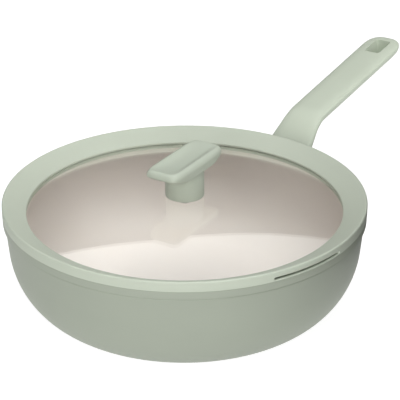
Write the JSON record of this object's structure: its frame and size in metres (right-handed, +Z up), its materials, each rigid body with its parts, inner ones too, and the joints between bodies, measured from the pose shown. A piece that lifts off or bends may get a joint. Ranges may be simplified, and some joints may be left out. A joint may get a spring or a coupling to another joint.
{
  "type": "wok with lid",
  "caption": "Flat-based wok with a long bent handle and a lift-off glass lid in a thick silicone rim with a bar knob.",
  "frame": {"origin": "centre of the flat base, on the surface that the wok stands on", "axes": "+Z up along the axis of pan and lid, +X from that axis along the handle"},
  "size_m": [0.4952, 0.289, 0.1264],
  "materials": {
    "coated_aluminium": "satin sage lacquer outside, cream ceramic coating inside",
    "steel": "brushed",
    "cast_aluminium": "fine blasted",
    "moulded_plastic": "matt soft-touch sage",
    "sage_silicone": "matt moulded",
    "pale_silicone": "translucent moulded",
    "tempered_glass": "clear polished",
    "brass": "turned"
  },
  "bodies": {
    "pan": {"wok_body": "coated_aluminium", "induction_base_plate": "steel", "handle_bracket": "cast_aluminium", "handle_grip": "moulded_plastic", "handle_screw": "steel", "handle_lock_washer": "steel"},
    "lid": {"lid_glass": "tempered_glass", "lid_silicone_rim": "sage_silicone", "lid_knob": "moulded_plastic", "knob_threaded_insert": "brass", "knob_upper_gasket": "pale_silicone", "knob_lower_grommet": "pale_silicone", "knob_washer": "steel", "knob_screw": "steel"}
  },
  "joints": [
    {"name": "lid_lift", "type": "slide", "parent": "pan", "child": "lid", "axis": [0, 0, 1], "range_m": [0, 0.15]}
  ]
}
